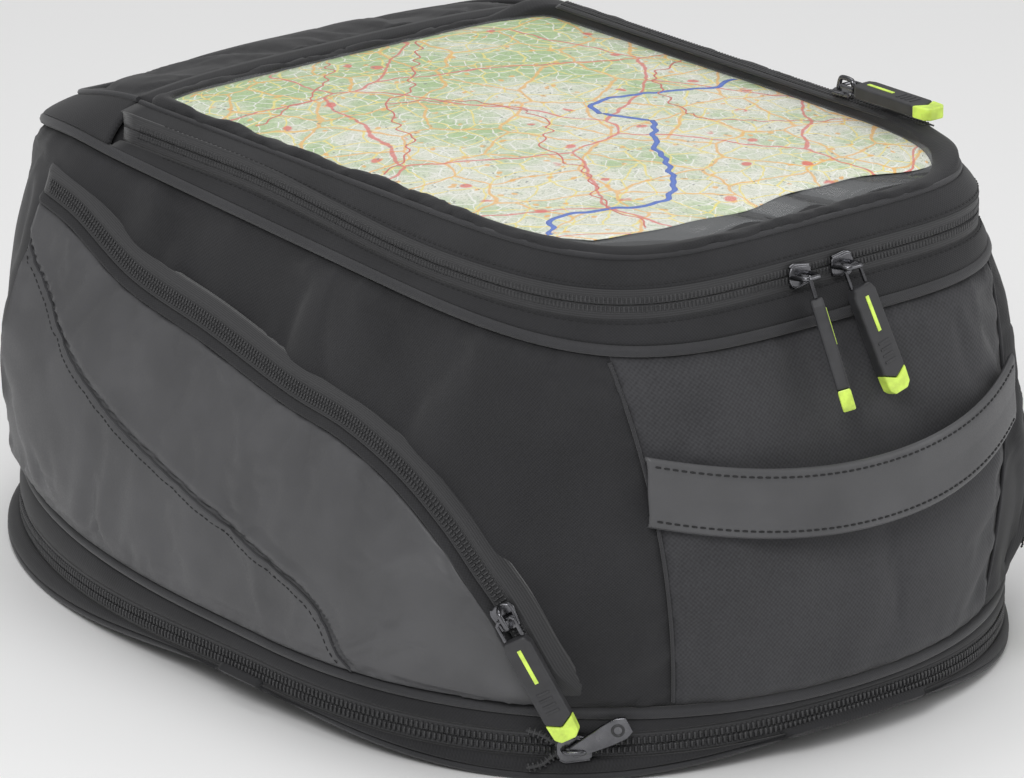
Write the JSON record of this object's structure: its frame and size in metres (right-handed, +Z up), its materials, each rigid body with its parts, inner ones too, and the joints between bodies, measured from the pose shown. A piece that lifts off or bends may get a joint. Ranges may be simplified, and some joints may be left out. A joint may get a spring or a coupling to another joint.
{
  "type": "motorcycle tank bag",
  "caption": "Soft tank bag with a hinged zip lid, map window, slanted side pockets, an expanding zipped base, a carrying strap, and a lock ring under its stiff base.",
  "frame": {"origin": "on the surface the bag stands on, at the middle of its box", "axes": "-Y is the end with the carrying strap, +Y the end where the lid is hinged, +Z up; +X is to the right of someone facing the strap end"},
  "size_m": [0.3218, 0.4599, 0.2163],
  "materials": {
    "body_fabric": "matt black woven polyester",
    "woven_nylon": "coarser black ballistic weave",
    "synthetic_leather": "satin dark grey coated fabric with a fine grain",
    "piping": "satin black covered cord",
    "zip_coil": "black nylon coil on woven tape",
    "foam": "closed-cell foam faced with grey cloth",
    "base_board": "fine-grained black moulded plastic",
    "dark_metal": "dark nickel plating",
    "pull_rubber": "matt moulded soft plastic",
    "bright_tip": "bright yellow-green moulded soft plastic",
    "window_film": "clear flexible film",
    "map_paper": "printed road map of an invented place"
  },
  "bodies": {
    "base": {"base_band": "body_fabric", "base_board": "base_board", "base_welt": "piping", "base_zip_lower": "zip_coil", "gusset": "body_fabric", "lock_ring": "base_board", "lock_screw_1": "dark_metal", "lock_screw_2": "dark_metal", "lock_screw_3": "dark_metal", "lock_screw_4": "dark_metal"},
    "lever": {"release_lever": "base_board"},
    "base_slider": {"base_slider": "dark_metal"},
    "base_tab": {"base_tab": "dark_metal"},
    "bag": {"base_zip_upper": "zip_coil", "lower_band": "body_fabric", "lower_piping": "piping", "handle_end_panel": "woven_nylon", "side_panel_left": "body_fabric", "side_panel_right": "body_fabric", "far_end_panel": "body_fabric", "wall_liner": "foam", "pocket_panel_left": "synthetic_leather", "pocket_panel_right": "synthetic_leather", "pocket_zip_left": "zip_coil", "pocket_zip_right": "zip_coil", "collar_piping": "piping", "collar_band": "body_fabric", "main_zip_lower": "zip_coil", "hood_band": "body_fabric", "hood_top": "body_fabric", "lid_hinge": "body_fabric", "handle_strap": "synthetic_leather"},
    "lid": {"lid_band": "body_fabric", "main_zip_upper": "zip_coil", "lid_board": "foam", "lid_rim": "body_fabric", "map_pocket_back": "body_fabric", "map_sheet": "map_paper", "map_window": "window_film", "map_zip": "zip_coil"},
    "main_left_slider": {"main_left_slider": "dark_metal"},
    "main_left_pull": {"main_left_pull": "pull_rubber", "main_left_pull_loop": "dark_metal", "main_left_pull_tip": "bright_tip"},
    "main_right_slider": {"main_right_slider": "dark_metal"},
    "main_right_pull": {"main_right_pull": "pull_rubber", "main_right_pull_loop": "dark_metal", "main_right_pull_tip": "bright_tip"},
    "pocket_left_slider": {"pocket_left_slider": "dark_metal"},
    "pocket_left_pull": {"pocket_left_pull": "pull_rubber", "pocket_left_pull_loop": "dark_metal", "pocket_left_pull_tip": "bright_tip"},
    "pocket_right_slider": {"pocket_right_slider": "dark_metal"},
    "pocket_right_pull": {"pocket_right_pull": "pull_rubber", "pocket_right_pull_loop": "dark_metal", "pocket_right_pull_tip": "bright_tip"},
    "map_slider": {"map_slider": "dark_metal"},
    "map_pull": {"map_pull": "pull_rubber", "map_pull_loop": "dark_metal", "map_pull_tip": "bright_tip"}
  },
  "joints": [
    {"name": "expansion", "type": "slide", "parent": "base", "child": "bag", "axis": [0, 0, 1], "range_m": [0, 0.045], "deforming": ["gusset"]},
    {"name": "lid_fold", "type": "hinge", "parent": "bag", "child": "lid", "pos_m": [0, 0.09635, 0.209], "axis": [-1, 0, 0], "range_deg": [0, 105]},
    {"name": "lever_pull", "type": "slide", "parent": "base", "child": "lever", "axis": [0, -1, 0], "range_m": [0, 0.006], "stiffness_N_per_m": 400},
    {"name": "base_slider_run", "type": "slide", "parent": "base", "child": "base_slider", "axis": [0.753, -0.6581, 0], "range_m": [0, 0.012]},
    {"name": "base_tab_swing", "type": "hinge", "parent": "base_slider", "child": "base_tab", "pos_m": [-0.11323, -0.18211, 0.01362], "axis": [0.3629, -0.3171, -0.8762], "range_deg": [0, 90]},
    {"name": "main_left_slider_run", "type": "slide", "parent": "bag", "child": "main_left_slider", "axis": [-1, 0, 0], "range_m": [0, 0.035]},
    {"name": "main_right_slider_run", "type": "slide", "parent": "bag", "child": "main_right_slider", "axis": [1, 0, 0], "range_m": [0, 0.035]},
    {"name": "pocket_left_slider_run", "type": "slide", "parent": "bag", "child": "pocket_left_slider", "axis": [-0.3232, 0.35, 0.8792], "range_m": [0, 0.02]},
    {"name": "pocket_right_slider_run", "type": "slide", "parent": "bag", "child": "pocket_right_slider", "axis": [0.3232, 0.35, 0.8792], "range_m": [0, 0.02]},
    {"name": "map_slider_run", "type": "slide", "parent": "lid", "child": "map_slider", "axis": [0, 1, 0], "range_m": [0, 0.15]},
    {"name": "main_left_pull_swing", "type": "hinge", "parent": "main_left_slider", "child": "main_left_pull", "pos_m": [-0.016, -0.2021, 0.18543], "axis": [-0.6259, -0.7249, 0.2877], "range_deg": [0, 100]},
    {"name": "main_right_pull_swing", "type": "hinge", "parent": "main_right_slider", "child": "main_right_pull", "pos_m": [0.005, -0.2021, 0.18543], "axis": [-0.9694, -0.0293, -0.2438], "range_deg": [0, 110]},
    {"name": "pocket_left_pull_swing", "type": "hinge", "parent": "pocket_left_slider", "child": "pocket_left_pull", "pos_m": [-0.13765, -0.17021, 0.06879], "axis": [-0.5674, 0.6718, -0.4761], "range_deg": [0, 120]},
    {"name": "pocket_right_pull_swing", "type": "hinge", "parent": "pocket_right_slider", "child": "pocket_right_pull", "pos_m": [0.13765, -0.17021, 0.06879], "axis": [-0.5674, -0.6718, 0.4761], "range_deg": [0, 120]},
    {"name": "map_pull_swing", "type": "hinge", "parent": "map_slider", "child": "map_pull", "pos_m": [0.0982, -0.09565, 0.2138], "axis": [-1, 0, 0], "range_deg": [0, 105]}
  ]
}
